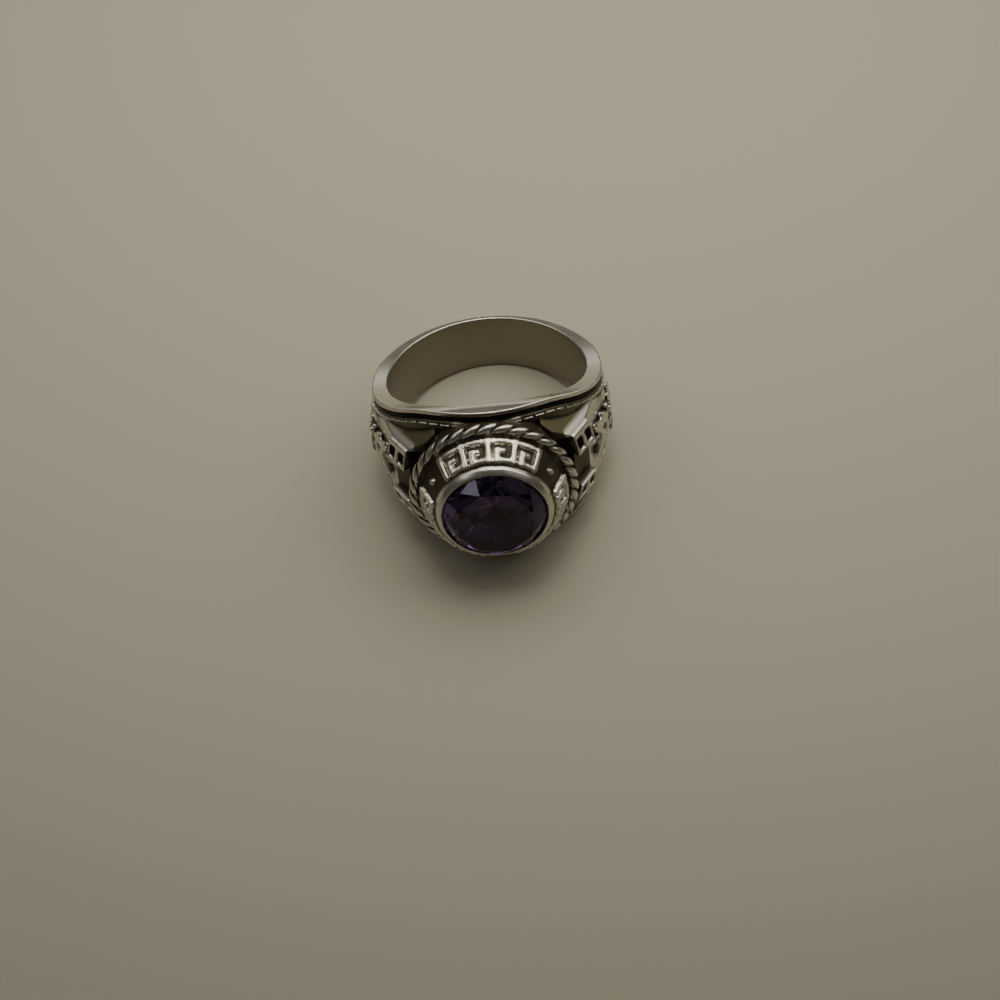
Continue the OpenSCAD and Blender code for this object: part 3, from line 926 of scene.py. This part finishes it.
three_turns = (0, 2, 4)
grind(gem, *[stone_point(turn, table_corner_r, table_rise) for turn in three_turns])
for i in range(fold):
    main = (i + 0.5) * notch
    table_corner = stone_point(main, table_corner_r, table_rise)
    next_corner = stone_point(main + notch, table_corner_r, table_rise)
    grind(gem, table_corner, next_corner, stone_point(main + notch / 2, star_corner_r, star_rise))
    for side in (-1, 1):
        beside = main + side * notch / 2
        star = stone_point(beside, star_corner_r, star_rise)
        main_girdle = stone_point(main, girdle_r, upper)
        grind(gem, table_corner, star, main_girdle)
        grind(gem, star, main_girdle, stone_point(beside, girdle_r, upper))
print("with its crown:", len(gem.faces), "faces")

# %% [markdown]
# The pavilion is cut the same way from below, down to the point. Its four facets to each turn throw
# the light back up.

# %% Pavilion
culet_depth = 4.15
lower_corner_r = 1.5
lower_share = 0.735
lower_depth = lower_share * culet_depth

for i in range(fold):
    main = i * notch
    lower = stone_point(main, lower_corner_r, -lower_depth)
    beside = stone_point(main + notch, lower_corner_r, -lower_depth)
    low_girdle = stone_point(main + notch / 2, girdle_r, -upper)
    grind(gem, lower, beside, low_girdle)
    grind(gem, lower, low_girdle, stone_point(main, girdle_r, -upper))
    grind(gem, beside, low_girdle, stone_point(main + notch, girdle_r, -upper))
    grind(gem, lower, beside, stone_point(0, 0, -culet_depth))
print("with its pavilion:", len(gem.faces), "faces")

# %% [markdown]
# The setter dropped the stone in a few degrees off the ring's axis, so it is turned before it is laid
# into its seat. Its faces stay flat shaded, because each facet is a plane.

# %% Set the stone
set_turn = math.radians(-5.5)
sliver_mm = 0.002
flat_angle = math.radians(0.3)

bmesh.ops.remove_doubles(gem, verts=gem.verts, dist=sliver_mm)
bmesh.ops.dissolve_limit(gem, angle_limit=flat_angle, verts=gem.verts, edges=gem.edges)
bmesh.ops.recalc_face_normals(gem, faces=gem.faces)
bmesh.ops.transform(gem, matrix=LAY_DOWN @ ON_HEAD @ Matrix.Rotation(set_turn, 4, "Z"), verts=gem.verts)
gem_mesh = bpy.data.meshes.new("stone_cut")
gem.to_mesh(gem_mesh)
print("stone:", len(gem.faces), "faces, closed:", all(e.is_manifold for e in gem.edges))
gem.free()
gem_mesh.materials.append(corundum)
stone = new_object("stone_cut", gem_mesh)
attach(stone, "root")
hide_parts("stone")

# %% [markdown]
# ## Studio
#
# The ring lies on a plain pale floor in a dim room. A jewel is lit by what it mirrors, and a dark room
# keeps the inside of the band and the middle of the stone deep.

# %% Floor and room
floor_half = 2.0
floor_hex = "#aba695"
floor_roughness = 0.7
room_hex = "#cfcabc"
room_strength = 0.11

ground_plane = bmesh.new()
bmesh.ops.create_grid(ground_plane, x_segments=1, y_segments=1, size=floor_half)
floor_mesh = bpy.data.meshes.new("floor")
ground_plane.to_mesh(floor_mesh)
ground_plane.free()
floor = new_object("floor", floor_mesh)
floor_material, floor_tree, floor_shader = new_material("pale_matt_floor")
floor_shader.inputs["Base Color"].default_value = linear(floor_hex)
floor_shader.inputs["Roughness"].default_value = floor_roughness
floor_mesh.materials.append(floor_material)

world = bpy.data.worlds.new("room")
world.use_nodes = True
background = world.node_tree.nodes["Background"]
background.inputs["Color"].default_value = linear(room_hex)
background.inputs["Strength"].default_value = room_strength
bpy.context.scene.world = world
print("floor:", 2 * floor_half, "m wide, room:", world.name)

# %% [markdown]
# The rims face up and back, so they mirror three soft windows there: a wide one behind the ring, and
# one at each side. The front rim leans back most, and a low strip of light on the horizon is there for
# it. The tops of the key pattern mirror a lamp overhead. A large faint light at the right front lifts
# the right flank. One small light at the left is there for a single facet of the stone, which flashes.

# %% Lights
window_hex = "#fffaf0"
ring_middle_h = 0.008


def soft_light(name, azimuth, elevation, distance, size, watts, colour, aim_back=0.0, spread=180):
    """A soft light that faces the ring, or a spot behind it. Azimuth 0 is behind it, 90 at its right."""
    turn, rise = math.radians(azimuth), math.radians(elevation)
    away = Vector((math.sin(turn) * math.cos(rise), math.cos(turn) * math.cos(rise), math.sin(rise)))
    data = bpy.data.lights.new(name, "AREA")
    data.shape = "RECTANGLE"
    data.size, data.size_y = size
    data.energy = watts
    data.color = linear(colour)[:3]
    data.spread = math.radians(spread)
    lamp = bpy.data.objects.new(name, data)
    bpy.context.scene.collection.objects.link(lamp)
    lamp.location = away * distance + Vector((0, 0, ring_middle_h))
    lamp.rotation_euler = (Vector((0, aim_back, 0)) - lamp.location).to_track_quat("-Z", "Y").to_euler()


soft_light("window_behind", azimuth=8, elevation=54, distance=0.21, size=(0.24, 0.18), watts=0.095,
           colour=window_hex, aim_back=0.07, spread=80)
soft_light("window_right", azimuth=65, elevation=44, distance=0.21, size=(0.2, 0.12), watts=0.035,
           colour=window_hex, aim_back=0.05, spread=90)
soft_light("window_left", azimuth=-60, elevation=46, distance=0.3, size=(0.2, 0.15), watts=0.03,
           colour=window_hex, aim_back=0.03, spread=90)
soft_light("window_low", azimuth=-3, elevation=3, distance=0.5, size=(0.26, 0.05), watts=0.085,
           colour=window_hex)
soft_light("ceiling", azimuth=0, elevation=80, distance=0.5, size=(0.2, 0.2), watts=0.02,
           colour="#fff6e6", aim_back=0.03, spread=30)
soft_light("facet_flash", azimuth=-112, elevation=47, distance=0.45, size=(0.08, 0.08), watts=0.06,
           colour="#f4f4ff")
soft_light("room_right", azimuth=120, elevation=45, distance=0.5, size=(0.3, 0.3), watts=0.05,
           colour="#f6f2ea")
